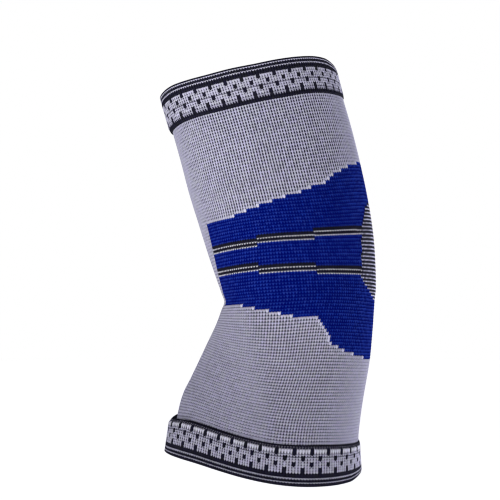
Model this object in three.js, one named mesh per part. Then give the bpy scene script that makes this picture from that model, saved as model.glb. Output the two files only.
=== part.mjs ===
import * as THREE from "three";

// Elbow compression sleeve, in the form it has on a slightly bent elbow.
// It is one knitted tube: a pale body, a blue support panel round the elbow, a striped patch
// over the elbow point and a double cuff at each end.
// The origin is in the middle of the elbow, +Z runs up the upper arm and +X points out of the elbow.
// Lengths are in millimetres. Places on the cloth are counted in stitches: wales round the tube
// from the front crease, and rows down it from the upper rim.

// Driving sizes
const walesRound = 186;
const walePitch = 1.52;
const rowPitch = 1.67;
const bodyWall = 2;
const seamGap = 0.36;
const backWale = walesRound / 2;

// Sections of the worn tube. x and z place the middle, tilt is the rise towards the back in degrees,
// depth and width are the half sizes front to back and side to side. front and back say how far the
// row is drawn up the arm there, and gather how closely the front wales crowd into the crease.
const sections = [
  { row: 0, x: -26.8, z: 112.4, tilt: 7.4, depth: 50.3, width: 42.0, front: -1.4, back: 3.4, gather: 0 },
  { row: 11, x: -21.7, z: 94.2, tilt: 11.0, depth: 50.0, width: 39.9, front: 0.3, back: 1.0, gather: 0 },
  { row: 22, x: -16.8, z: 76.7, tilt: 10.1, depth: 50.0, width: 39.2, front: -0.1, back: 0.8, gather: 0 },
  { row: 33, x: -12.1, z: 57.8, tilt: 7.4, depth: 49.8, width: 39.7, front: -1.3, back: 2.4, gather: 0 },
  { row: 44, x: -7.3, z: 38.7, tilt: 4.0, depth: 48.9, width: 40.5, front: -2.6, back: 3.2, gather: 0 },
  { row: 53.9, x: -3.4, z: 21.7, tilt: 2.4, depth: 47.6, width: 41.3, front: -3.0, back: 1.7, gather: 0.12 },
  { row: 61.6, x: -0.7, z: 7.8, tilt: 2.0, depth: 45.8, width: 41.3, front: -2.7, back: -0.6, gather: 0.36 },
  { row: 68.5, x: 1.3, z: -4.3, tilt: 2.7, depth: 43.8, width: 40.8, front: -1.4, back: -2.9, gather: 0.6 },
  { row: 71.6, x: 1.7, z: -9.5, tilt: 3.2, depth: 42.7, width: 40.6, front: -0.6, back: -3.6, gather: 0.6 },
  { row: 74.5, x: 0.7, z: -14.6, tilt: 3.9, depth: 43.2, width: 40.3, front: 0.7, back: -4.4, gather: 0.55 },
  { row: 81.6, x: -1.4, z: -26.8, tilt: 4.7, depth: 44.3, width: 39.0, front: 4.4, back: -5.2, gather: 0.35 },
  { row: 91.9, x: -4.9, z: -43.9, tilt: 2.3, depth: 46.1, width: 38.5, front: 8.4, back: -4.0, gather: 0.1 },
  { row: 105, x: -11.2, z: -64.2, tilt: -3.9, depth: 48.8, width: 39.9, front: 6.3, back: 0.4, gather: 0 },
  { row: 119, x: -16.6, z: -85.2, tilt: -7.9, depth: 51.4, width: 42.2, front: 2.7, back: 2.7, gather: 0 },
  { row: 130, x: -17.7, z: -104.9, tilt: -6.0, depth: 53.2, width: 43.8, front: 3.0, back: 2.8, gather: 0 },
];

// How far the four edges of the cuffs wander off their level, in rows, from the front crease to the back.
// Up the arm is less than 0.
const wander = [
  { wale: 0, upperRim: 0.1, upperSeam: 0, lowerSeam: 1.4, lowerRim: -0.2 },
  { wale: 8, upperRim: 0.05, upperSeam: 0, lowerSeam: 0.4, lowerRim: -0.7 },
  { wale: 16, upperRim: -0.1, upperSeam: -0.15, lowerSeam: -0.9, lowerRim: -1.3 },
  { wale: 24, upperRim: 0.1, upperSeam: 0, lowerSeam: -1.3, lowerRim: -1.7 },
  { wale: 32, upperRim: 0.35, upperSeam: 0.3, lowerSeam: -1.0, lowerRim: -1.45 },
  { wale: 40, upperRim: 0.25, upperSeam: 0.3, lowerSeam: -0.6, lowerRim: -0.85 },
  { wale: 48, upperRim: -0.1, upperSeam: 0.15, lowerSeam: -0.3, lowerRim: -0.25 },
  { wale: 56, upperRim: -0.8, upperSeam: 0.05, lowerSeam: -0.5, lowerRim: 0.15 },
  { wale: 64, upperRim: -1.25, upperSeam: -0.25, lowerSeam: -0.75, lowerRim: 0.3 },
  { wale: 72, upperRim: -1.3, upperSeam: -0.1, lowerSeam: -0.6, lowerRim: 0.3 },
  { wale: 80, upperRim: -0.6, upperSeam: 0.4, lowerSeam: -0.3, lowerRim: 0.1 },
  { wale: 88, upperRim: 0.4, upperSeam: 0.4, lowerSeam: -0.1, lowerRim: -0.1 },
  { wale: 93, upperRim: 0.9, upperSeam: 0.3, lowerSeam: 0, lowerRim: -0.3 },
];

// Rows where the wander is known. The body lies level between the two rows that name no edge.
const wanderRows = [
  { row: 0, edge: "upperRim" },
  { row: 11, edge: "upperSeam" },
  { row: 33 },
  { row: 92 },
  { row: 119, edge: "lowerSeam" },
  { row: 130, edge: "lowerRim" },
];

// Cuffs. rim and seam are the rows of the free edge and of the edge at the body. front, side and back
// say how far the cuff stands out from the body there.
const cuffs = [
  { name: "upper_cuff", rim: 0, seam: 11, front: 1.7, side: 1.0, back: 0.8 },
  { name: "lower_cuff", rim: 130, seam: 119, front: 4.2, side: 1.6, back: 1.0 },
];

// Rounded outline of a cuff's wall. down runs from the rim (0) to the seam (1), out from the skin (0)
// to the outer face (1).
const cuffOutline = [
  { down: 0.02, out: 0.15 },
  { down: 0.0, out: 0.5 },
  { down: 0.02, out: 0.85 },
  { down: 0.09, out: 1.0 },
  { down: 0.5, out: 1.0 },
  { down: 0.94, out: 1.0 },
  { down: 1.0, out: 0.8 },
  { down: 1.0, out: 0.0 },
  { down: 0.5, out: 0.0 },
  { down: 0.08, out: 0.0 },
];

// Upper and lower edge of the support panel on one side, from its front edge to the back of the elbow.
const panelEdges = [
  { wale: 12, upper: 46, lower: 73 },
  { wale: 24, upper: 46, lower: 73.2 },
  { wale: 53, upper: 40.2, lower: 78.7 },
  { wale: 61, upper: 38.6, lower: 87 },
  { wale: 73, upper: 34.6, lower: 90.2 },
  { wale: 82, upper: 33.2, lower: 91 },
  { wale: 93, upper: 33, lower: 91 },
];

// Upper and lower edge of the elbow patch on one side, from its side to the back of the elbow.
const patchEdges = [
  { wale: 73, upper: 57, lower: 66.5 },
  { wale: 77, upper: 51, lower: 70 },
  { wale: 82, upper: 47, lower: 72.5 },
  { wale: 87, upper: 45.2, lower: 73 },
  { wale: 93, upper: 45, lower: 73 },
];

// Wales on one side that carry a column of facets, and facets between one zone edge and the next.
const facetWales = [0, 4, 8, 12, 18, 24, 29, 34, 39, 44, 49, 53, 57, 61, 65, 69, 73, 77, 82, 87, 93];
const facetRows = { aboveUpper: 7, upperToPatch: 4, patch: 7, patchToLower: 5, belowLower: 8 };

// Smooth value of one column of a table, where place names the column that its lines are ordered by.
function smoothValue(table, place, column, at) {
  const last = table.length - 1;
  let i = 0;
  while (i < last - 1 && table[i + 1][place] <= at) i += 1;
  const slope = (k) => {
    const before = table[Math.max(k - 1, 0)];
    const after = table[Math.min(k + 1, last)];
    return (after[column] - before[column]) / (after[place] - before[place]);
  };
  const a = table[i];
  const b = table[i + 1];
  const span = b[place] - a[place];
  const t = (at - a[place]) / span;
  const fromA = a[column] * (1 + 2 * t) + slope(i) * span * t;
  const fromB = b[column] * (3 - 2 * t) + slope(i + 1) * span * (t - 1);
  return fromA * (1 - t) * (1 - t) + fromB * t * t;
}

// Row of the worn tube on which a row of the cloth lies at a wale, the same on both sides.
function wornRow(wale, row) {
  const side = Math.min(wale, walesRound - wale);
  const off = ({ edge }) => (edge ? smoothValue(wander, "wale", edge, side) : 0);
  const i = Math.max(wanderRows.findIndex((station) => station.row >= row), 1);
  const a = wanderRows[i - 1];
  const b = wanderRows[i];
  return row + THREE.MathUtils.mapLinear(row, a.row, b.row, off(a), off(b));
}

// Point of the cloth at a wale and a row. proud moves it out from the body's outer face.
function clothPoint(wale, row, proud) {
  const tubeRow = wornRow(wale, row);
  const at = (column) => smoothValue(sections, "row", column, tubeRow);
  const depth = at("depth") + (proud.front + proud.back) / 2;
  const width = at("width") + proud.side;
  const shift = (proud.back - proud.front) / 2;
  const turn = wale <= backWale ? wale : wale - walesRound;
  const even = (2 * Math.PI * turn) / walesRound;
  const crowded = even * (1 - at("gather") * Math.exp(-((even / 0.9) ** 2)));
  const oval = (depth * depth - width * width) / (4 * (depth * depth + width * width));
  const angle = crowded + oval * Math.sin(2 * crowded);
  const along = shift - depth * Math.cos(angle);
  const drawn = at(Math.cos(angle) > 0 ? "front" : "back") * Math.cos(angle) ** 2;
  const tilt = THREE.MathUtils.degToRad(at("tilt"));
  return new THREE.Vector3(
    at("x") + along * Math.cos(tilt) - drawn * Math.sin(tilt),
    -width * Math.sin(angle),
    at("z") + along * Math.sin(tilt) + drawn * Math.cos(tilt)
  );
}

const level = (out) => ({ front: out, side: out, back: out });
const outerFace = level(0);
const innerFace = level(-bodyWall);

// Row of a zone's edge at a wale, the same on both sides of the elbow.
function edgeRow(edges, column, wale) {
  const w = Math.min(wale, walesRound - wale);
  if (w <= edges[0].wale) return edges[0][column];
  const i = edges.findIndex((edge) => edge.wale >= w);
  const a = edges[i - 1];
  const b = edges[i];
  return THREE.MathUtils.mapLinear(w, a.wale, b.wale, a[column], b[column]);
}

// Columns of the facet net right round the tube, and the rows of its knots on one column.
const mirrored = facetWales.slice(1, -1).reverse();
const columns = [...facetWales, ...mirrored.map((wale) => walesRound - wale)];

function knotRows(wale) {
  const stations = [
    { row: cuffs[0].seam, facets: facetRows.aboveUpper },
    { row: edgeRow(panelEdges, "upper", wale), facets: facetRows.upperToPatch },
    { row: edgeRow(patchEdges, "upper", wale), facets: facetRows.patch },
    { row: edgeRow(patchEdges, "lower", wale), facets: facetRows.patchToLower },
    { row: edgeRow(panelEdges, "lower", wale), facets: facetRows.belowLower },
  ];
  const ends = [...stations.slice(1).map((station) => station.row), cuffs[1].seam];
  const rows = stations.flatMap(({ row, facets }, k) =>
    Array.from({ length: facets }, (_, j) => row + ((ends[k] - row) * j) / facets)
  );
  return [...rows, cuffs[1].seam];
}

const knots = columns.map(knotRows);
const firstPanelRow = facetRows.aboveUpper;
const firstPatchRow = firstPanelRow + facetRows.upperToPatch;
const afterPatchRow = firstPatchRow + facetRows.patch;
const afterPanelRow = afterPatchRow + facetRows.patchToLower;
const netRows = knots[0].length - 1;

// Zone of one facet of the net: column i runs from columns[i] to the next.
function zoneOf(i, j) {
  const next = columns[i + 1] ?? walesRound;
  const nearest = Math.min(columns[i], walesRound - next);
  const inPanel = nearest >= panelEdges[0].wale && j >= firstPanelRow && j < afterPanelRow;
  const inPatch = nearest >= patchEdges[0].wale && j >= firstPatchRow && j < afterPatchRow;
  if (inPatch) return "elbow_patch";
  return inPanel ? "support_panel" : "sleeve_body";
}

// Faces as triangles, from four corners in order.
function addQuad(triangles, a, b, c, d) {
  triangles.push(a, b, c, a, c, d);
}

function solidGeometry(points, triangles) {
  const geometry = new THREE.BufferGeometry();
  geometry.setAttribute("position", new THREE.Float32BufferAttribute(points.flatMap((p) => p.toArray()), 3));
  geometry.setIndex(triangles);
  geometry.computeVertexNormals();
  return geometry;
}

// Wall of one zone, drawn back from its neighbours by half the seam gap.
function zoneWall(zone) {
  const count = columns.length;
  const inside = (i, j) => j >= 0 && j < netRows && zoneOf((i + count) % count, j) === zone;
  const points = [];
  const triangles = [];
  const known = new Map();

  function knot(i, j) {
    const column = i % count;
    const key = column * (netRows + 1) + j;
    if (known.has(key)) return known.get(key);
    const corners = [
      { i: -1, j: -1 },
      { i: -1, j: 0 },
      { i: 0, j: -1 },
      { i: 0, j: 0 },
    ].filter((corner) => inside(column + corner.i, j + corner.j));
    const towards = (axis) => Math.sign(corners.reduce((sum, corner) => sum + 2 * corner[axis] + 1, 0));
    const wale = columns[column] + (towards("i") * seamGap) / 2 / walePitch;
    const row = knots[column][j] + (towards("j") * seamGap) / 2 / rowPitch;
    points.push(clothPoint(wale, row, outerFace), clothPoint(wale, row, innerFace));
    known.set(key, points.length - 2);
    return points.length - 2;
  }

  for (let i = 0; i < count; i += 1) {
    for (let j = 0; j < netRows; j += 1) {
      if (!inside(i, j)) continue;
      const corner = [knot(i, j), knot(i, j + 1), knot(i + 1, j + 1), knot(i + 1, j)];
      const across = [inside(i - 1, j), inside(i, j + 1), inside(i + 1, j), inside(i, j - 1)];
      const [a, b, c, d] = corner;
      addQuad(triangles, a, b, c, d);
      addQuad(triangles, d + 1, c + 1, b + 1, a + 1);
      corner.forEach((from, k) => {
        const to = corner[(k + 1) % corner.length];
        if (!across[k]) addQuad(triangles, to, from, from + 1, to + 1);
      });
    }
  }
  return solidGeometry(points, triangles);
}

// Cuff swept round the tube with its rounded outline.
function cuffWall(cuff) {
  const points = [];
  const triangles = [];
  const count = columns.length;
  const sides = cuffOutline.length;
  const seamRow = cuff.seam + (Math.sign(cuff.rim - cuff.seam) * seamGap) / 2 / rowPitch;
  const upright = cuff.rim < cuff.seam;
  columns.forEach((wale, i) => {
    cuffOutline.forEach(({ down, out }, k) => {
      const row = THREE.MathUtils.lerp(cuff.rim, seamRow, down);
      const raise = (most) => THREE.MathUtils.lerp(-bodyWall, most, out);
      const proud = { front: raise(cuff.front), side: raise(cuff.side), back: raise(cuff.back) };
      points.push(clothPoint(wale, row, proud));
      const i2 = (i + 1) % count;
      const k2 = (k + 1) % sides;
      const corner = [i * sides + k, i * sides + k2, i2 * sides + k2, i2 * sides + k];
      addQuad(triangles, ...(upright ? corner : corner.reverse()));
    });
  });
  return solidGeometry(points, triangles);
}

// Yarns and the finished sleeve
const yarn = (color, roughness) => new THREE.MeshStandardMaterial({ color, roughness, metalness: 0 });

function piece(name, geometry, material) {
  const mesh = new THREE.Mesh(geometry, material);
  mesh.name = name;
  return mesh;
}

const sleeve = new THREE.Group();
sleeve.add(piece("sleeve_body", zoneWall("sleeve_body"), yarn(0x9c9aae, 0.9)));
sleeve.add(piece("support_panel", zoneWall("support_panel"), yarn(0x14207a, 0.85)));
sleeve.add(piece("elbow_patch", zoneWall("elbow_patch"), yarn(0x6e6b74, 0.9)));
cuffs.forEach((cuff) => sleeve.add(piece(cuff.name, cuffWall(cuff), yarn(0x75738a, 0.9))));

export default sleeve;
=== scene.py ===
import math
import bpy
import numpy as np
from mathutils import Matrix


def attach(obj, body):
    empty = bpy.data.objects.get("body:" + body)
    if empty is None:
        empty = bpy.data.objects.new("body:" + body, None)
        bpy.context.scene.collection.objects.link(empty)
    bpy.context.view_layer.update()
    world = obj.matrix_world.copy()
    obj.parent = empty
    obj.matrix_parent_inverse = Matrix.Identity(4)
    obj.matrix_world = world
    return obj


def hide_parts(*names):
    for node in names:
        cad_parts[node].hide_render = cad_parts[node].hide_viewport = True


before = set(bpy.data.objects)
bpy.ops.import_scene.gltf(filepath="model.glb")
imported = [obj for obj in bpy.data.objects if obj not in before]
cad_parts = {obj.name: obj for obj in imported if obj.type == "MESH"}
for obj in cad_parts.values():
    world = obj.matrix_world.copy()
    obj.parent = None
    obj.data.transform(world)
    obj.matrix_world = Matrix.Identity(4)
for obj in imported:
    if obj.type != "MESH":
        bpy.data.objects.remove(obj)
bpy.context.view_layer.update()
print("frame loaded:", sorted(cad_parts))

# The sleeve is knitted flat, stitch by stitch, and then put on the bent form it is worn in.
# Places on the cloth: wales round the sleeve from the front crease, rows down from the upper rim.
gauge = {"wales": 186, "rows": 130, "wale": 0.00152, "row": 0.00167, "wall": 0.002}
cuffGauge = {"wales": 204, "courses": 17, "repeat": 6}
sheetWidth = gauge["wales"] * gauge["wale"]
millimetre = 0.001
nearly = 1e-6  # metres within which points count as level

# The worn tube: row, middle x and z, tilt in degrees, half depth and half width, how far the row is
# drawn up at front and back, and how much the front wales crowd into the crease. Millimetres.
wornTube = np.array([
    (0, -26.8, 112.4, 7.4, 50.3, 42.0, -1.4, 3.4, 0.0),
    (11, -21.7, 94.2, 11.0, 50.0, 39.9, 0.3, 1.0, 0.0),
    (22, -16.8, 76.7, 10.1, 50.0, 39.2, -0.1, 0.8, 0.0),
    (33, -12.1, 57.8, 7.4, 49.8, 39.7, -1.3, 2.4, 0.0),
    (44, -7.3, 38.7, 4.0, 48.9, 40.5, -2.6, 3.2, 0.0),
    (53.9, -3.4, 21.7, 2.4, 47.6, 41.3, -3.0, 1.7, 0.12),
    (61.6, -0.7, 7.8, 2.0, 45.8, 41.3, -2.7, -0.6, 0.36),
    (68.5, 1.3, -4.3, 2.7, 43.8, 40.8, -1.4, -2.9, 0.6),
    (71.6, 1.7, -9.5, 3.2, 42.7, 40.6, -0.6, -3.6, 0.6),
    (74.5, 0.7, -14.6, 3.9, 43.2, 40.3, 0.7, -4.4, 0.55),
    (81.6, -1.4, -26.8, 4.7, 44.3, 39.0, 4.4, -5.2, 0.35),
    (91.9, -4.9, -43.9, 2.3, 46.1, 38.5, 8.4, -4.0, 0.1),
    (105, -11.2, -64.2, -3.9, 48.8, 39.9, 6.3, 0.4, 0.0),
    (112, -14.6, -74.5, -6.4, 50.5, 41.0, 4.4, 1.8, 0.0),
    (119, -16.6, -85.2, -7.9, 51.4, 42.2, 2.7, 2.7, 0.0),
    (130, -17.7, -104.9, -6.0, 53.2, 43.8, 3.0, 2.8, 0.0),
])
creaseReach = 0.9  # how far round the sleeve the front wales crowd, in radians


def smoothThrough(knots, values, x):  # smooth curve through the rows of a table
    knots = np.asarray(knots, float)
    values = np.asarray(values, float)
    count = len(knots)
    before = np.maximum(np.arange(count) - 1, 0)
    after = np.minimum(np.arange(count) + 1, count - 1)
    slope = (values[after] - values[before]) / (knots[after] - knots[before])[:, None]
    i = np.clip(np.searchsorted(knots, x, side="right") - 1, 0, count - 2)
    span = (knots[i + 1] - knots[i])[:, None]
    t = (x - knots[i])[:, None] / span
    fromA = values[i] * (1 + 2 * t) + slope[i] * span * t
    fromB = values[i + 1] * (3 - 2 * t) + slope[i + 1] * span * (t - 1)
    return (fromA * (1 - t) ** 2 + fromB * t ** 2).T


# How far the cuffs' edges wander off their level, in rows: wale, upper rim and seam, lower seam and rim
cuffDrift = np.array([
    (0, -0.25, 0, 1.67, 0.19), (8, -0.3, 0, 0.67, -0.31), (16, -0.45, -0.15, -0.63, -0.91),
    (24, -0.1, 0, -1.03, -1.31), (32, 0.15, 0.3, -0.73, -1.06), (40, -0.1, 0.3, -0.33, -0.46),
    (48, -0.45, 0.15, -0.03, 0.14), (56, -1.15, 0.05, -0.23, 0.54), (64, -1.6, -0.25, -0.48, 0.69),
    (72, -1.65, -0.1, -0.33, 0.69), (80, -0.95, 0.4, -0.03, 0.49), (88, 0.05, 0.4, 0.17, 0.29),
    (93, 0.55, 0.3, 0.27, 0.09),
])
driftRows = np.array([0, 11, 33, 92, 119, 130])  # from each seam it dies away to nothing


def sideOf(wale):  # how far a point lies from the front crease, on either side
    return np.minimum(wale, gauge["wales"] - wale)


def drifted(wale, row):
    side = sideOf(wale)
    upperRim, upperSeam, lowerSeam, lowerRim = smoothThrough(cuffDrift[:, 0], cuffDrift[:, 1:], side)
    still = np.zeros_like(side)
    atRows = np.stack([upperRim, upperSeam, still, still, lowerSeam, lowerRim])
    i = np.clip(np.searchsorted(driftRows, row, side="right") - 1, 0, len(driftRows) - 2)
    t = np.clip((row - driftRows[i]) / (driftRows[i + 1] - driftRows[i]), 0, 1)
    here = np.arange(len(row))
    return row + atRows[i, here] * (1 - t) + atRows[i + 1, here] * t


def putOn(wale, row, outFront, outSide, outBack):  # flat cloth to worn place, in metres
    worn = smoothThrough(wornTube[:, 0], wornTube[:, 1:], drifted(wale, row))
    x, z, tilt, depth, width, front, back, gather = worn
    depth = depth + (outFront + outBack) / 2
    width = width + outSide
    turn = np.where(wale <= gauge["wales"] / 2, wale, wale - gauge["wales"])
    even = 2 * np.pi * turn / gauge["wales"]
    crowded = even * (1 - gather * np.exp(-(even / creaseReach) ** 2))
    oval = (depth ** 2 - width ** 2) / (4 * (depth ** 2 + width ** 2))
    angle = crowded + oval * np.sin(2 * crowded)
    along = (outBack - outFront) / 2 - depth * np.cos(angle)
    drawn = np.where(np.cos(angle) > 0, front, back) * np.cos(angle) ** 2
    lean = np.radians(tilt)
    place = np.stack([
        x + along * np.cos(lean) - drawn * np.sin(lean),
        -width * np.sin(angle),
        z + along * np.sin(lean) + drawn * np.cos(lean),
    ], axis=1)
    return place * millimetre


# Helpers for editing the active mesh
def editMode(kind):
    bpy.ops.object.mode_set(mode="EDIT")
    bpy.ops.mesh.select_mode(type=kind)


def objectMode():
    bpy.ops.object.mode_set(mode="OBJECT")


def points(mesh):
    co = np.empty(len(mesh.vertices) * 3)
    mesh.vertices.foreach_get("co", co)
    return co.reshape(-1, 3)


def setPoints(mesh, co):
    mesh.vertices.foreach_set("co", co.astype(np.float32).ravel())
    mesh.update()


def faceMiddles(mesh):
    middle = np.empty(len(mesh.polygons) * 3)
    mesh.polygons.foreach_get("center", middle)
    return middle.reshape(-1, 3)


def selectOnly(mesh, edges=None, faces=None):
    for items, chosen in ((mesh.vertices, None), (mesh.edges, edges), (mesh.polygons, faces)):
        if chosen is None:
            chosen = np.zeros(len(items), bool)
        items.foreach_set("select", chosen)


def edgeEnds(mesh):
    ends = np.empty(len(mesh.edges) * 2, int)
    mesh.edges.foreach_get("vertices", ends)
    return ends.reshape(-1, 2)


# Chart of the knit. Wales are counted from the crease on either side, so both sides are alike.
bodyChart = {
    "top": 11, "bottom": 119,
    "panelFront": 12,
    "panelUpper": 46,  # the panel's edges in front, and the wales at which they step out by a row
    "upperSteps": (27, 32, 37, 42, 47, 53, 57, 63, 65, 67, 71, 75, 82),
    "panelLower": 73,
    "lowerSteps": (27, 32, 37, 41, 45, 54, 55, 56, 57, 58, 59, 60, 60, 61, 64, 67, 72, 79),
    "patchTop": 44,
    "patchSide": (  # first wale of each row of the patch
        88, 84, 81, 80, 79, 78, 77, 76, 75, 75, 75, 74, 74, 74, 74, 73, 73, 73, 73, 73,
        72, 72, 73, 74, 76, 78, 80, 83,
    ),
    "upperBand": 54, "upperBreaks": (34, 54),  # first row of each band in front, and where it steps out
    "lowerBand": 61, "lowerBreaks": (34, 53),
}
bodyRows = bodyChart["bottom"] - bodyChart["top"]
patchFront = min(bodyChart["patchSide"])  # the bands run into the patch there
paleZone, panelZone, patchZone = range(3)


def stitchSide(wale):  # the same for whole stitches, which are counted from 0
    return np.minimum(wale, gauge["wales"] - 1 - wale)


def bodyZone(wale, row):
    c = bodyChart
    side = stitchSide(wale)
    upper = c["panelUpper"] - np.searchsorted(c["upperSteps"], side, side="right")
    lower = c["panelLower"] + np.searchsorted(c["lowerSteps"], side, side="right")
    panel = (side >= c["panelFront"]) & (row >= upper) & (row < lower)
    inPatch = np.clip(row - c["patchTop"], 0, len(c["patchSide"]) - 1)
    rowsOfPatch = (row >= c["patchTop"]) & (row < c["patchTop"] + len(c["patchSide"]))
    patch = rowsOfPatch & (side >= np.array(c["patchSide"])[inPatch])
    return np.where(patch, patchZone, np.where(panel, panelZone, paleZone))


def bandStarts(side):  # first rows of the two striped bands that run from the patch to the front
    c = bodyChart
    upper = c["upperBand"] - np.searchsorted(c["upperBreaks"], side, side="right")
    lower = c["lowerBand"] + np.searchsorted(c["lowerBreaks"], side, side="right")
    return upper, lower


# A flat sheet with one face for each stitch. The chart says which stitches it has, and the yarn of each.
def flatKnit(name, wales, courses, length, chart, materials):
    bpy.ops.object.select_all(action="DESELECT")
    bpy.ops.mesh.primitive_grid_add(x_subdivisions=wales, y_subdivisions=courses, size=1)
    ob = bpy.context.object
    ob.name = ob.data.name = name
    ob.data.uv_layers[0].name = "stitches"
    for material in materials:
        ob.data.materials.append(material)
    middle = faceMiddles(ob.data)
    wale = np.floor((middle[:, 0] + 0.5) * wales).astype(int)
    course = np.floor((0.5 - middle[:, 1]) * courses).astype(int)
    keep, yarn = chart(wale, course)
    ob.data.polygons.foreach_set("material_index", yarn.astype(np.int32))
    editMode("FACE")
    bpy.ops.mesh.select_all(action="SELECT")
    bpy.ops.transform.resize(value=(sheetWidth, length, 1))
    objectMode()
    if not keep.all():
        selectOnly(ob.data, faces=~keep)
        editMode("FACE")
        bpy.ops.mesh.delete(type="FACE")
        objectMode()
    return ob


def thicken(ob, thickness, offset):  # offset -1 puts all of the wall inside
    solid = ob.modifiers.new("wall", "SOLIDIFY")
    solid.thickness = thickness
    solid.offset = offset
    solid.use_even_offset = False
    bpy.ops.object.modifier_apply(modifier=solid.name)


def openSeam(ob):  # takes the end walls off, so that the two ends of the sheet can be joined
    middle = faceMiddles(ob.data)
    end = np.abs(middle[:, 0]) > sheetWidth / 2 - nearly
    if end.any():
        selectOnly(ob.data, faces=end)
        editMode("FACE")
        bpy.ops.mesh.delete(type="ONLY_FACE")
        objectMode()
    return end.any()


rimAngle = math.radians(60)
seamReach = 0.00002  # metres between points that are joined when the tube is closed
roundWay, lengthWay = 0, 1


def keepRimSharp(ob):
    selectOnly(ob.data)
    editMode("EDGE")
    bpy.ops.mesh.edges_select_sharp(sharpness=rimAngle)
    bpy.ops.mesh.mark_sharp()
    bpy.ops.mesh.select_all(action="DESELECT")
    objectMode()


def splitStitches(ob, way):  # halves the outer face's edges that run round the sleeve or along it
    co = points(ob.data)
    ends = edgeEnds(ob.data)
    run = np.abs(co[ends[:, 0]] - co[ends[:, 1]])
    outside = (co[ends, 2] > co[:, 2].max() - nearly).all(1)
    selectOnly(ob.data, edges=outside & (run[:, 1 - way] < nearly))
    editMode("EDGE")
    bpy.ops.mesh.subdivide(number_cuts=1)
    objectMode()


def tent(x):  # 1 on the line between two stitches, 0 in the middle of one
    return np.abs(x - np.floor(x) - 0.5) * 2


# Where each point lies on the sheet: shares across and down, height in millimetres, and if it is outside
def flatPlace(ob, length):
    co = points(ob.data)
    across = co[:, 0] / sheetWidth + 0.5
    down = 0.5 - co[:, 1] / length
    outer = co[:, 2] > co[:, 2].max() - nearly
    return across, down, co[:, 2] / millimetre, outer


def relief(stitch, across, down, outer):  # height of the knit in millimetres, and how far its legs rise
    between = tent(across)
    crossing = tent(down)
    dip = stitch["waleDip"] * between + stitch["rowDip"] * crossing
    dip = dip + stitch["holeDip"] * between * crossing
    return np.where(outer, stitch["crown"] - dip, 0), stitch["veeRise"] * between


def closeUp(ob):  # joins the two ends of the sheet into a tube
    editMode("VERT")
    bpy.ops.mesh.select_all(action="SELECT")
    bpy.ops.mesh.remove_doubles(threshold=seamReach)
    objectMode()


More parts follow.
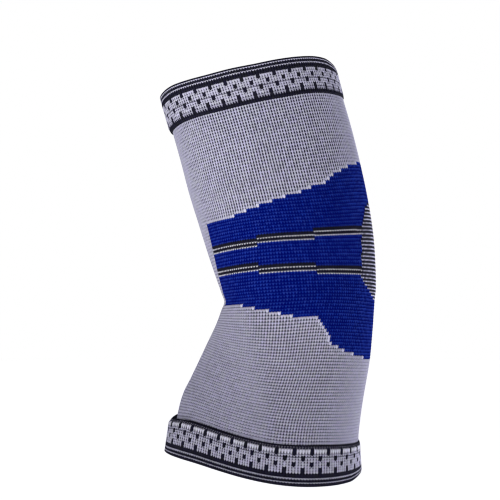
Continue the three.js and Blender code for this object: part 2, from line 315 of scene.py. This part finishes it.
# Materials: every stitch has its own light crown, and the darker line to its neighbours and the hole at each
# crossing are painted shade in the recesses of the knit
def knitMaterial(name, look):
    mat = bpy.data.materials.new(name)
    mat.use_nodes = True
    nodes = mat.node_tree.nodes
    links = mat.node_tree.links
    shader = nodes["Principled BSDF"]
    shader.inputs["Roughness"].default_value = look["roughness"]
    shader.inputs["Specular IOR Level"].default_value = look["gloss"]
    shader.inputs["Sheen Weight"].default_value = look["sheen"]
    shader.inputs["Sheen Roughness"].default_value = look["sheenRoughness"]
    shader.inputs["Sheen Tint"].default_value = (*look["sheenTint"], 1)
    uv = nodes.new("ShaderNodeUVMap")
    uv.uv_map = "stitches"
    place = nodes.new("ShaderNodeTexCoord")

    def sums(kind, a, b=0.0, clamp=False):
        node = nodes.new("ShaderNodeMath")
        node.operation = kind
        node.use_clamp = clamp
        for socket, value in zip(node.inputs, (a, b)):
            if isinstance(value, (int, float)):
                socket.default_value = value
            else:
                links.new(value, socket)
        return node.outputs[0]

    def plus(a, b, clamp=False):
        return sums("ADD", a, b, clamp)

    def minus(a, b):
        return sums("SUBTRACT", a, b)

    def times(a, b):
        return sums("MULTIPLY", a, b)

    def blend(amount, a, b):  # a where amount is 0, b where it is 1
        return plus(a, times(amount, minus(b, a)))

    def lessened(value, share):  # 1 where value is 0, down by share where it is 1
        return minus(1.0, times(value, share))

    def around(value, amount):  # from 0 to 1 into half of amount either way
        return times(minus(value, 0.5), amount)

    def fromMiddle(value):  # 0 in the middle of a stitch, 1 on its edge
        return times(sums("ABSOLUTE", minus(sums("FRACT", value), 0.5)), 2.0)

    def ramp(value, low, high):  # smooth step from 0 at low to 1 at high
        node = nodes.new("ShaderNodeMapRange")
        node.interpolation_type = "SMOOTHSTEP"
        links.new(value, node.inputs["Value"])
        node.inputs["From Min"].default_value = low
        node.inputs["From Max"].default_value = high
        return node.outputs["Result"]

    def vector(kind, source, *values):
        node = nodes.new("ShaderNodeVectorMath")
        node.operation = kind
        links.new(source, node.inputs[0])
        for socket, value in zip(node.inputs[1:], values):
            socket.default_value = value
        return node.outputs[0]

    def parts(source):
        node = nodes.new("ShaderNodeSeparateXYZ")
        links.new(source, node.inputs[0])
        return node.outputs["X"], node.outputs["Y"]

    def chance(source, salt):  # draws a number and a colour for each stitch or crossing
        node = nodes.new("ShaderNodeTexWhiteNoise")
        node.noise_dimensions = "2D"
        links.new(vector("ADD", vector("FLOOR", source), salt), node.inputs["Vector"])
        return node.outputs

    def noise(scale, detail):
        node = nodes.new("ShaderNodeTexNoise")
        node.inputs["Scale"].default_value = scale
        node.inputs["Detail"].default_value = detail
        links.new(place.outputs["Object"], node.inputs["Vector"])
        return node.outputs["Fac"]

    def mixColour(amount, a, b):
        node = nodes.new("ShaderNodeMix")
        node.data_type = "RGBA"
        links.new(amount, node.inputs["Factor"])
        for socket, value in ((node.inputs["A"], a), (node.inputs["B"], b)):
            if isinstance(value, tuple):
                socket.default_value = (*value, 1)
            else:
                links.new(value, socket)
        return node.outputs["Result"]

    # The count of stitches, and how near a point is to the edges of its own
    stitches = (look["wales"], look["courses"], 1)
    count = vector("MULTIPLY_ADD", uv.outputs["UV"], stitches, (0, look["rowShift"], 0))
    waleCount, rowCount = parts(count)
    between = fromMiddle(waleCount)
    crossing = fromMiddle(rowCount)
    waleLine = ramp(between, *look["waleLine"])
    rowLine = ramp(crossing, *look["rowLine"])
    ofStitch = chance(count, (0, 0, 0))
    ofHole = chance(vector("ADD", count, (0.5, 0.5, 0)), (7, 3, 0))  # half a stitch off, with its own draw

    # How strongly the painted shade of the lines and holes shows: most over the side, where the knit is
    # stretched most, and weaker towards the front and back, partly painted light as the light falls there. In
    # the lower part the rows take more painted shade and the holes less.
    acrossSheet, upSheet = parts(uv.outputs["UV"])
    side = minus(0.5, sums("ABSOLUTE", minus(acrossSheet, 0.5)))
    below = ramp(upSheet, *look["lowerPart"])
    shadeShowsAbove = ramp(side, *look["shadeShowsAbove"])
    slantFrom, slantBy = look["slant"]
    slanted = plus(side, times(minus(upSheet, slantFrom), slantBy))
    shadeShowsBelow = plus(look["leastShown"], times(ramp(slanted, *look["shadeShowsBelow"]), 1 - look["leastShown"]))
    shadeShows = blend(below, shadeShowsAbove, shadeShowsBelow)
    behind = blend(below, ramp(side, *look["backFadeAbove"]), ramp(side, *look["backFadeBelow"]))
    shadeShows = times(shadeShows, minus(1.0, behind))
    strength = lessened(minus(1.0, shadeShows), look["shadeDrop"])
    strength = times(strength, lessened(below, look["lowerShadeDrop"]))
    rowsOnly = times(below, minus(1.0, shadeShows))  # rows take more painted shade there, and holes less

    # Painted shade: what the lines and holes take off the light, and the light that is left
    short = minus(crossing, times(below, look["shortBelow"]))
    hole = times(ramp(between, *look["holeAcross"]), ramp(short, *look["holeAlong"]))
    hole = times(hole, lessened(ofHole["Value"], look["holeVary"]))
    hole = times(hole, lessened(rowsOnly, look["rowsOnlyDark"]))
    rowDark = plus(look["rowDark"], times(below, look["rowBelow"]))
    rowDark = plus(rowDark, times(rowsOnly, look["rowsOnlyDark"]))
    pattern = plus(times(waleLine, look["waleDark"]), times(rowLine, rowDark))
    pattern = plus(pattern, times(hole, look["holeDark"]))
    pattern = plus(pattern, around(ofStitch["Value"], look["uneven"]))
    pattern = times(minus(pattern, look["tone"]), strength)
    light = minus(1.0 - look["tone"], pattern)  # where the painted shade shows less, the knit keeps its mean tone
    light = plus(light, around(noise(*look["slowNoise"]), look["slow"]))
    light = plus(light, around(noise(*look["fibreNoise"]), look["fibre"]), True)

    draw = nodes.new("ShaderNodeSeparateColor")
    links.new(ofStitch["Color"], draw.inputs["Color"])
    yarn = mixColour(draw.outputs["Green"], look["yarn"], look["yarnToo"])
    # The lines and holes take the gap colour as painted shade, except in the dotted cuff course, where the
    # gap colour is its pale dots
    links.new(mixColour(light, look["gap"], yarn), shader.inputs["Base Color"])
    bump = nodes.new("ShaderNodeBump")
    bump.inputs["Strength"].default_value = look["bump"]
    bump.inputs["Distance"].default_value = look["bumpDepth"]
    links.new(minus(light, times(waleLine, look["bumpWale"])), bump.inputs["Height"])
    links.new(bump.outputs["Normal"], shader.inputs["Normal"])
    return mat


# Looks of the yarns. Lines and holes run from the middle of a stitch, 0, to its edge, 1. Places on the sheet
# are shares of it: where the painted shade of lines and holes shows from the crease, lowerPart and slant up
# from the lower seam.
plainLook = {
    "wales": gauge["wales"], "courses": bodyRows, "rowShift": 0.0,
    "roughness": 0.9, "gloss": 0.15, "sheen": 0.08, "sheenRoughness": 0.45, "sheenTint": (0.9, 0.9, 1.0),
    # gap: painted shade in the lines and holes between the stitches
    "yarn": (0.50, 0.48, 0.66), "yarnToo": (0.49, 0.49, 0.58), "gap": (0.008, 0.006, 0.022),
    "waleLine": (0.4, 1.0), "rowLine": (0.5, 1.0), "holeAcross": (0.3, 0.8), "holeAlong": (0.05, 0.6),
    "waleDark": 0.22, "rowDark": 0.16, "holeDark": 1.9, "holeVary": 0.45, "tone": 0.29,
    # The next three lines: where the painted shade of the lines and holes shows, partly from stretch and
    # partly painted light, and the lower part's darker rows, painted shade
    "shadeDrop": 0.75, "lowerShadeDrop": 0.12, "lowerPart": (0.72, 0.4), "slant": (0.36, 0.25), "leastShown": 0.4,
    "shadeShowsAbove": (0.0, 0.24), "shadeShowsBelow": (0.14, 0.21), "backFadeAbove": (0.345, 0.43), "backFadeBelow": (0.3, 0.43),
    "shortBelow": 0.12, "rowBelow": 0.25, "rowsOnlyDark": 1.15,
    "uneven": 0.32,  # from stitch to stitch
    "slow": 0.12, "slowNoise": (38.0, 3.0),  # from stretch and handling
    "fibre": 0.2, "fibreNoise": (3200.0, 2.0),  # from loose fibres on the yarn
    "bump": 0.6, "bumpDepth": 0.00035, "bumpWale": 0.35,
}
evenLook = {**plainLook, "shadeDrop": 0.0, "lowerShadeDrop": 0.0, "shortBelow": 0.0, "rowBelow": 0.0, "rowsOnlyDark": 0.0}
greyKnit = knitMaterial("greyKnit", plainLook)
greyEdge = knitMaterial("greyEdge", {**plainLook, "holeDark": 0.3, "rowDark": 0.0})
# Painted highlight: a lighter grey for the last stitch of each step of the panel's edge, where the knit has a
# drawn-up loop
stepHighlight = knitMaterial("stepHighlight", {
    **evenLook, "yarn": (0.65, 0.63, 0.82), "yarnToo": (0.62, 0.62, 0.73), "waleDark": 0.1, "holeDark": 0.2,
})
blueKnit = knitMaterial("blueKnit", {
    **evenLook, "gloss": 0.0, "sheen": 0.04, "sheenTint": (0.45, 0.5, 1.0), "rowShift": 0.75,
    # yarn and yarnToo: the blue yarn with a painted glint on each stitch's crown, lighter and greyer; gap:
    # painted shade in the lines
    "yarn": (0.010, 0.033, 0.31), "yarnToo": (0.017, 0.039, 0.29), "gap": (0.0, 0.0025, 0.112),
    "waleLine": (0.05, 0.75), "rowLine": (0.05, 0.75), "waleDark": 0.6, "rowDark": 0.85, "holeDark": 0.3,
    "uneven": 0.5, "slow": 0.1, "tone": 0.9,
    "shadeDrop": -2.0, "shadeShowsAbove": (-1.0, -0.5), "shadeShowsBelow": (-1.0, -0.5),  # painted glints on the crowns and painted shade in the lines, stronger at the back
})
stripeBlack = knitMaterial("stripeBlack", {
    **evenLook, "courses": bodyRows * 2, "gloss": 0.06, "sheen": 0.0,
    "yarn": (0.009, 0.0085, 0.021), "yarnToo": (0.012, 0.012, 0.019), "gap": (0.001, 0.001, 0.004),
    "waleDark": 0.3, "rowDark": 0.2, "holeDark": 0.3,
})
stripeLook = {
    **evenLook, "courses": bodyRows * 2,
    "yarn": (0.70, 0.69, 0.79), "yarnToo": (0.66, 0.65, 0.71), "gap": (0.02, 0.02, 0.03),
    "waleLine": (0.25, 0.8), "waleDark": 0.8, "rowDark": 0.2, "holeDark": 0.3,
}
stripePale = knitMaterial("stripePale", stripeLook)
patchPale = knitMaterial("patchPale", {
    **stripeLook, "yarn": (0.63, 0.62, 0.85), "yarnToo": (0.59, 0.59, 0.77), "waleDark": 1.1, "uneven": 0.7,
})
cuffLook = {
    **evenLook, "wales": cuffGauge["wales"], "courses": cuffGauge["courses"],
    "waleDark": 0.12, "rowDark": 0.2, "holeDark": 0.9, "uneven": 0.3,
}
cuffBlackLook = {
    **cuffLook, "gloss": 0.06, "sheen": 0.0,
    "yarn": (0.013, 0.012, 0.030), "yarnToo": (0.016, 0.016, 0.022), "gap": (0.002, 0.002, 0.006),
}
cuffYarns = {  # by their signs in the charts of the cuffs
    ".": knitMaterial("cuffGrey", {**cuffLook, "yarn": (0.54, 0.52, 0.69), "yarnToo": (0.52, 0.52, 0.60)}),
    "b": knitMaterial("cuffBlack", cuffBlackLook),
    "d": knitMaterial("cuffDull", {
        **cuffLook, "yarn": (0.39, 0.37, 0.50), "yarnToo": (0.35, 0.35, 0.43),
        "holeAcross": (0.15, 0.75), "holeAlong": (0.1, 0.7), "holeDark": 1.5,
    }),
    "t": knitMaterial("cuffDash", {**cuffLook, "yarn": (0.18, 0.17, 0.24), "yarnToo": (0.14, 0.14, 0.18)}),
    "o": knitMaterial("cuffBright", {
        **cuffLook, "yarn": (0.75, 0.73, 0.87), "yarnToo": (0.72, 0.72, 0.79),
        "waleDark": 0.3, "holeDark": 0.5,
    }),
    "x": knitMaterial("cuffDotted", {
        **cuffBlackLook, "gap": (0.36, 0.35, 0.43), "holeAcross": (0.3, 0.7), "holeAlong": (0.3, 0.7),
        "waleDark": 0.0, "rowDark": 0.0, "uneven": 0.0, "slow": 0.0, "fibre": 0.0, "holeDark": 1.0,
    }),
}
print("materials made")

# Relief of a stitch in millimetres, and how far its two legs rise towards the wale's edges, in rows.
# darkShare is the share of a row that its upper half takes, which is the dark one in the patch.
bodyStitch = {"crown": 0.1, "waleDip": 0.2, "rowDip": 0.1, "holeDip": 0.2, "veeRise": 0.4, "darkShare": 0.66}


# The piece's own stitches, and which of its materials each has
def bodyChartOf(zone):
    def chart(wale, half):
        row = bodyChart["top"] + half // 2
        keep = bodyZone(wale, row) == zone
        yarn = np.zeros(len(wale), int)
        side = stitchSide(wale)
        if zone == paleZone:  # next to the panel the stitches lie drawn together, and the last of each step is painted lighter, a painted highlight where the knit has a drawn-up loop
            for near in (half - 1, half + 1):
                yarn[bodyZone(wale, bodyChart["top"] + near // 2) == panelZone] = 1
            towardsBack = np.where(wale < gauge["wales"] / 2, wale + 1, wale - 1)
            yarn[(bodyZone(towardsBack, row) == panelZone) & (side >= bodyChart["panelFront"])] = 2
        if zone == panelZone:
            for start in bandStarts(side):
                inBand = half - 2 * (start - bodyChart["top"])
                yarn[(inBand >= -1) & (inBand <= 2)] = 1  # a thick black line, pale, black, pale
                yarn[(inBand == 1) | (inBand == 3)] = 2
        if zone == patchZone:
            yarn = half % 2
        return keep, yarn
    return chart


# Where the lines between half rows lie round a striped band, in rows from its first row
bandLines = np.array([
    (-1.5, -1.34), (-1, -0.95), (-0.5, -0.45), (0, 0), (0.5, 0.51),
    (1, 0.85), (1.5, 1.7), (2, 2.04), (2.5, 2.62), (3, 3),
])
bandBegin, bandEnd = bandLines[[0, -1], 0]
withinStitch = 0.01  # keeps a point on the line between two wales with the one in front


def bodyPiece(name, zone, materials):
    length = bodyRows * gauge["row"]
    ob = flatKnit(name, gauge["wales"], bodyRows * 2, length, bodyChartOf(zone), materials)
    thicken(ob, gauge["wall"], -1)
    joined = openSeam(ob)
    keepRimSharp(ob)
    splitStitches(ob, roundWay)
    across, down, out, outer = flatPlace(ob, length)
    wale = across * gauge["wales"]
    knitRow = bodyChart["top"] + down * bodyRows
    raised, rise = relief(bodyStitch, wale, knitRow, outer)
    row = knitRow + (bodyStitch["darkShare"] - 0.5) * (1 - tent(knitRow))
    if zone == panelZone:
        side = sideOf(wale)
        for start in bandStarts(side - withinStitch):
            inBand = knitRow - start
            near = (inBand > bandBegin) & (inBand < bandEnd) & (side < patchFront)
            row = np.where(near, start + np.interp(inBand, *bandLines.T), row)
    out = out + raised
    setPoints(ob.data, putOn(wale, row - rise, out, out, out))
    if joined:
        closeUp(ob)
    bpy.ops.object.shade_smooth()
    print(name, len(ob.data.polygons), "faces")
    return ob


paleBody = bodyPiece("pale_body", paleZone, [greyKnit, greyEdge, stepHighlight])
supportPanel = bodyPiece("blue_panel", panelZone, [blueKnit, stripeBlack, stripePale])
elbowPatch = bodyPiece("striped_patch", patchZone, [stripeBlack, patchPale])

# Cuffs: a double band with its own count of stitches. The courses run from the rim to the body: one sign
# for each stitch of the repeat, then the height in rows. front, side and back say how far the cuff stands
# out, phase where the repeat starts, rolled how much of the rim rolls in at the back, upright the row at
# which the wales stand true, and spread the body's wale under a repeat of the cuff.
cuffPieces = {
    "upper_band": {
        "rimOnTop": True, "front": 1.7, "side": 1.0, "back": 0.8, "phase": 0, "rolled": 0.6, "upright": 4.3,
        "courses": (
            ("bbbbbb", 0.55), ("......", 0.36), ("bbbbbb", 0.79), ("......", 0.36), ("bbbbbb", 0.68),
            ("bbbbbb", 0.67), ("b.....", 0.87), ("......", 0.73), ("...b..", 0.76), ("......", 0.7),
            ("bttttt", 0.26), ("b.....", 0.72), ("......", 0.75), ("...b..", 0.82), ("dddbdd", 0.96),
            ("bbbbbb", 0.52), ("bbbbbb", 0.5),
        ),
        "spread": (
            (0, 0), (2.083, 13.4), (4.083, 26), (6.083, 37.4), (8.083, 48.8), (10.083, 60.2), (11.083, 66),
            (12.083, 71.3), (13.083, 76.1), (14.083, 80.3), (17, 93),
        ),
    },
    "lower_band": {
        "rimOnTop": False, "front": 4.2, "side": 1.6, "back": 1.0, "phase": 4, "rolled": 0.4, "upright": 2.2,
        "courses": (
            ("bbbbbb", 0.85), ("......", 0.26), ("bbbbbb", 0.69), ("......", 0.41), ("bbbbbb", 1.19),
            ("b.....", 0.62), ("b.....", 0.7), ("......", 0.75), ("...b..", 0.71), ("......", 0.81),
            ("b.....", 0.62), ("bttttt", 0.28), ("......", 0.52), ("dddbdd", 0.26), ("oooboo", 1.22),
            ("xxxxxx", 0.55), ("bbbbbb", 0.56),
        ),
        "spread": (
            (0, 0), (0.75, 4.7), (1.75, 11), (2.75, 17.4), (3.75, 23.2), (4.75, 28.5), (5.75, 33.1),
            (7.75, 42.2), (8.75, 47), (9.75, 52.5), (10.75, 58.4), (12.75, 70.3), (13.75, 75.7),
            (14.75, 80.5), (17, 93),
        ),
    },
}
cuffStitch = {
    "crown": 0.1, "waleDip": 0.1, "rowDip": 0.1, "holeDip": 0.25, "veeRise": 0.32,
    "widen": 0.17, "hang": 0.4, "reach": 0.28,  # dark stitches spread into their neighbours
    "lean": 0.06,  # of the wales, in each row
}
cuffForm = {
    "fold": 0.001, "offset": -1 / 3,  # the second layer, in metres, lies outside the body's wall
    "rounding": 0.0004, "roundSteps": 3,
    "linedRows": 3.3,  # the rim with its black lines
    "rollFrom": 78, "rollWales": 12,  # the body's wales over which that rim starts to roll in
    "rimStraight": 1.5, "seamStraight": 0.6,  # rows in which the legs of the stitches flatten out
    "seamHeight": 0.6, "seamRows": 1.5,  # the cuff lies flatter along its seam
}
quarter = 0.25  # of a stitch


def roundRims(ob):
    co = points(ob.data)
    ends = edgeEnds(ob.data)
    longEdge = (np.abs(co[ends, 1]) > np.abs(co[:, 1]).max() - nearly).all(1)
    longEdge &= np.abs(co[ends[:, 0], 2] - co[ends[:, 1], 2]) < nearly
    selectOnly(ob.data, edges=longEdge)
    editMode("EDGE")
    bpy.ops.mesh.bevel(offset=cuffForm["rounding"], segments=cuffForm["roundSteps"], affect="EDGES")
    objectMode()


def cuffPiece(name):
    cuff = cuffPieces[name]
    form = cuffForm
    wales, courses, repeat = cuffGauge["wales"], cuffGauge["courses"], cuffGauge["repeat"]
    rimOnTop = cuff["rimOnTop"]
    lines, heights = zip(*cuff["courses"])
    starts = np.concatenate([[0], np.cumsum(heights)])
    length = starts[-1] * gauge["row"]
    yarns = list(cuffYarns)
    signs = np.array([[yarns.index(sign) for sign in line] for line in lines])
    spots = signs == yarns.index("b")
    spots &= ~spots.all(1)[:, None]

    def chart(wale, course):
        fromRim = course if rimOnTop else courses - 1 - course
        return np.ones(len(wale), bool), signs[fromRim, (wale - cuff["phase"]) % repeat]

    def spotAt(wale, course):
        course = np.clip(np.floor(course).astype(int), 0, courses - 1)
        return spots[course, (np.floor(wale).astype(int) - cuff["phase"]) % repeat] * 1.0

    ob = flatKnit(name, wales, courses, length, chart, cuffYarns.values())
    thicken(ob, gauge["wall"] + form["fold"], form["offset"])
    openSeam(ob)
    roundRims(ob)
    splitStitches(ob, roundWay)
    splitStitches(ob, lengthWay)
    across, down, out, outer = flatPlace(ob, length)
    wale = across * wales
    fromRim = (down if rimOnTop else 1 - down) * courses
    raised, rise = relief(cuffStitch, wale, fromRim, outer)
    row = np.interp(fromRim, np.arange(courses + 1), starts)

    # Points on the edge of a dark stitch move outwards, and down more than up
    nearRim, nearSeam = [
        [spotAt(wale + i, fromRim + j) for i in (-quarter, quarter)] for j in (-quarter, quarter)
    ]
    wider = cuffStitch["widen"] * (nearRim[0] + nearSeam[0] - nearRim[1] - nearSeam[1]) / 2
    above, under = (nearRim, nearSeam) if rimOnTop else (nearSeam, nearRim)
    edge = (above[0] + above[1] - under[0] - under[1]) / 2
    taller = np.where(edge > 0, cuffStitch["hang"], cuffStitch["reach"]) * edge

    # Wales of the cuff to wales of the body
    placed = (wale + wider + cuffStitch["lean"] * (row - cuff["upright"])) / repeat
    repeats = wales / repeat
    half = np.minimum(placed, repeats - placed)
    knots, bodyWales = np.array(cuff["spread"]).T
    side = np.sign(half) * smoothThrough(knots, bodyWales[:, None], np.abs(half))[0]
    bodyWale = np.where(placed <= repeats / 2, side, gauge["wales"] - side)

    rolled = cuff["rolled"] * np.clip((side - form["rollFrom"]) / form["rollWales"], 0, 1)
    lined = form["linedRows"]
    row = np.where(row < lined, lined - (lined - row) * (1 - rolled), row)
    toSeam = starts[-1] - row
    rise = rise * np.clip(row / form["rimStraight"], 0, 1) * np.clip(toSeam / form["seamStraight"], 0, 1)
    lift = form["seamHeight"] + (1 - form["seamHeight"]) * np.clip(toSeam / form["seamRows"], 0, 1)
    row = (row if rimOnTop else gauge["rows"] - row) - rise + taller
    stands = [np.where(out > 0, out * cuff[k] * lift, out) + raised for k in ("front", "side", "back")]
    setPoints(ob.data, putOn(bodyWale, row, *stands))
    closeUp(ob)
    bpy.ops.object.shade_smooth()
    print(name, len(ob.data.polygons), "faces")
    return ob


upperCuff = cuffPiece("upper_band")
lowerCuff = cuffPiece("lower_band")


def declare(ob, node):
    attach(ob, "root")
    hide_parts(node)


declare(paleBody, "sleeve_body")
declare(supportPanel, "support_panel")
declare(elbowPatch, "elbow_patch")
declare(upperCuff, "upper_cuff")
declare(lowerCuff, "lower_cuff")
print("pieces declared")

# Floor, light and camera, in metres and degrees
white = (1, 1, 1, 1)
studio = {
    "floorSides": 96, "floorRadius": 6, "floorLevel": -0.45,
    "floorColour": (0.9, 0.9, 0.9, 1), "floorRoughness": 0.9, "floorGlow": 0.86,
    "roomLight": 1.0, "fillLight": 0.23, "fillColour": (0.8, 0.8, 1, 1),
    "cameraPlace": (-0.0263, -0.4860, -0.0120), "cameraPitch": 93.45,
    "sensor": 36, "lens": 61.17, "nearest": 0.01, "pixelFilter": 1.2,
}
bpy.ops.object.select_all(action="DESELECT")
bpy.ops.mesh.primitive_circle_add(
    vertices=studio["floorSides"], radius=studio["floorRadius"], fill_type="NGON",
    location=(0, 0, studio["floorLevel"]),
)
floor = bpy.context.object
floor.name = "floor"
floorPaint = bpy.data.materials.new("floorPaint")
floorPaint.use_nodes = True
floorShader = floorPaint.node_tree.nodes["Principled BSDF"]
floorShader.inputs["Base Color"].default_value = studio["floorColour"]
floorShader.inputs["Roughness"].default_value = studio["floorRoughness"]
floorShader.inputs["Emission Color"].default_value = white
floorShader.inputs["Emission Strength"].default_value = studio["floorGlow"]
floor.data.materials.append(floorPaint)

world = bpy.data.worlds.new("studio")
bpy.context.scene.world = world
world.use_nodes = True
worldNodes = world.node_tree.nodes
worldNodes.clear()
seen = worldNodes.new("ShaderNodeBackground")  # the white room as it shows
seen.inputs["Strength"].default_value = studio["roomLight"]
seen.inputs["Color"].default_value = white
fill = worldNodes.new("ShaderNodeBackground")  # and as it lights the sleeve
fill.inputs["Strength"].default_value = studio["fillLight"]
fill.inputs["Color"].default_value = studio["fillColour"]
path = worldNodes.new("ShaderNodeLightPath")
choose = worldNodes.new("ShaderNodeMixShader")
worldOut = worldNodes.new("ShaderNodeOutputWorld")
worldLinks = world.node_tree.links
worldLinks.new(path.outputs["Is Camera Ray"], choose.inputs[0])
worldLinks.new(fill.outputs[0], choose.inputs[1])
worldLinks.new(seen.outputs[0], choose.inputs[2])
worldLinks.new(choose.outputs[0], worldOut.inputs["Surface"])


def addLamp(name, kind, place, aim, power, tint):
    bpy.ops.object.light_add(type=kind, location=place)
    lamp = bpy.context.object
    lamp.name = name
    lamp.data.energy = power
    lamp.data.color = tint
    x, y, z = np.array(lamp.location) - np.array(aim)
    lamp.rotation_euler = (math.atan2(math.hypot(x, y), z), 0, math.atan2(x, -y))
    return lamp.data


keyLight = addLamp(
    "keyLight", "SPOT", place=(-0.52, -0.81, 0.28), aim=(-0.04, 0, 0.046), power=27, tint=(1, 1, 0.97),
)
keyLight.spot_size = math.radians(22)
keyLight.spot_blend = 1.0
keyLight.shadow_soft_size = 0.12
rimLight = addLamp(
    "rimLight", "AREA", place=(0.59, 0.38, 0.12), aim=(0.03, 0, 0.01), power=3.7, tint=(0.9, 0.9, 1),
)
rimLight.shape = "DISK"
rimLight.size = 0.3

bpy.ops.object.camera_add(
    location=studio["cameraPlace"], rotation=(math.radians(studio["cameraPitch"]), 0, 0),
)
camera = bpy.context.object
camera.data.sensor_width = studio["sensor"]
camera.data.lens = studio["lens"]
camera.data.clip_start = studio["nearest"]
bpy.context.scene.camera = camera
bpy.context.scene.view_settings.view_transform = "Standard"
bpy.context.scene.cycles.filter_width = studio["pixelFilter"]  # crisp stitches

print("scene ready")
